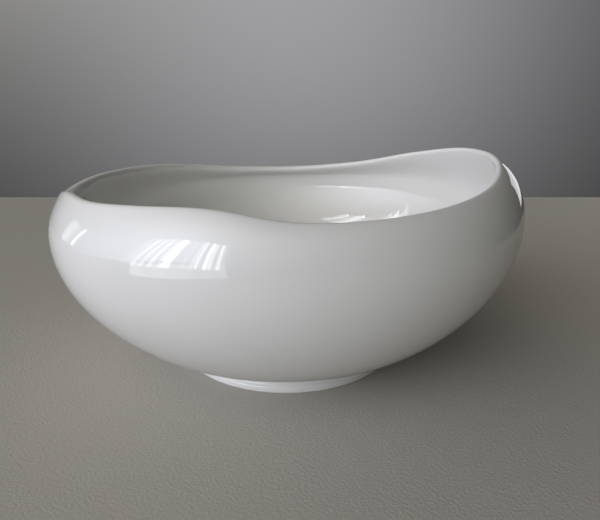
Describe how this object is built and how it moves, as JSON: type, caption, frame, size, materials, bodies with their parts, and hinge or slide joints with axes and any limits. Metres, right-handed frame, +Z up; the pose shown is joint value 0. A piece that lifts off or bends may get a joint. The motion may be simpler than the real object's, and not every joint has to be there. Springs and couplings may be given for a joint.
{
  "type": "porcelain serving bowl",
  "caption": "White glazed porcelain serving bowl with a full belly, an in-turned shoulder, an undulating rounded lip and a low foot ring.",
  "frame": {"origin": "middle of the foot, on the surface that the bowl stands on", "axes": "+Z up out of the bowl's mouth, +X towards the high end of the lip, -Y towards the long, nearly level side of the lip"},
  "size_m": [0.3, 0.294, 0.1355],
  "materials": {
    "bare_porcelain": "matt, fine-grained, unglazed",
    "fired_slip": "matt, smoothed by hand",
    "clear_glaze": "high gloss over white porcelain"
  },
  "bodies": {
    "root": {"bowl_body": "bare_porcelain", "foot_ring": "bare_porcelain", "luting_slip": "fired_slip", "glaze_coat": "clear_glaze", "base_glaze": "clear_glaze"}
  },
  "joints": []
}
